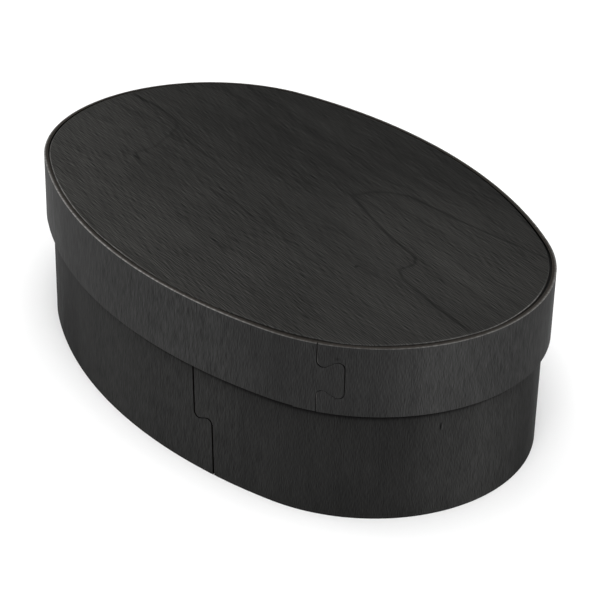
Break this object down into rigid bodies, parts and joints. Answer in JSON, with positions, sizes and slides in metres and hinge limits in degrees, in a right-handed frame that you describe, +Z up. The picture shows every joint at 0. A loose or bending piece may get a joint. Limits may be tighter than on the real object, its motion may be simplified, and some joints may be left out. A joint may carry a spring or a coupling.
{
  "type": "oval box with lid",
  "caption": "Oval bentwood box with a loose lift-off lid. Thin two-ply walls close in dovetailed jigsaw keys. Stained black.",
  "frame": {"origin": "middle of the box's footprint, on the surface it stands on", "axes": "+X along the oval's long axis, +Z up through the lid, -Y the side with the base's key seam"},
  "size_m": [0.24, 0.1548, 0.0706],
  "materials": {
    "band_ply": "thin plywood, grain upright, stained black, matt",
    "lining_ply": "thin plywood lining, stained black, matt",
    "panel_board": "veneered board, grain along the oval, stained black, matt"
  },
  "bodies": {
    "base": {"base_outer_band": "band_ply", "base_inner_band": "lining_ply", "base_panel": "panel_board"},
    "lid": {"lid_outer_band": "band_ply", "lid_inner_band": "lining_ply", "lid_panel": "panel_board"}
  },
  "joints": [
    {"name": "lid_lift", "type": "slide", "parent": "base", "child": "lid", "axis": [0, 0, 1], "range_m": [0, 0.08]}
  ]
}
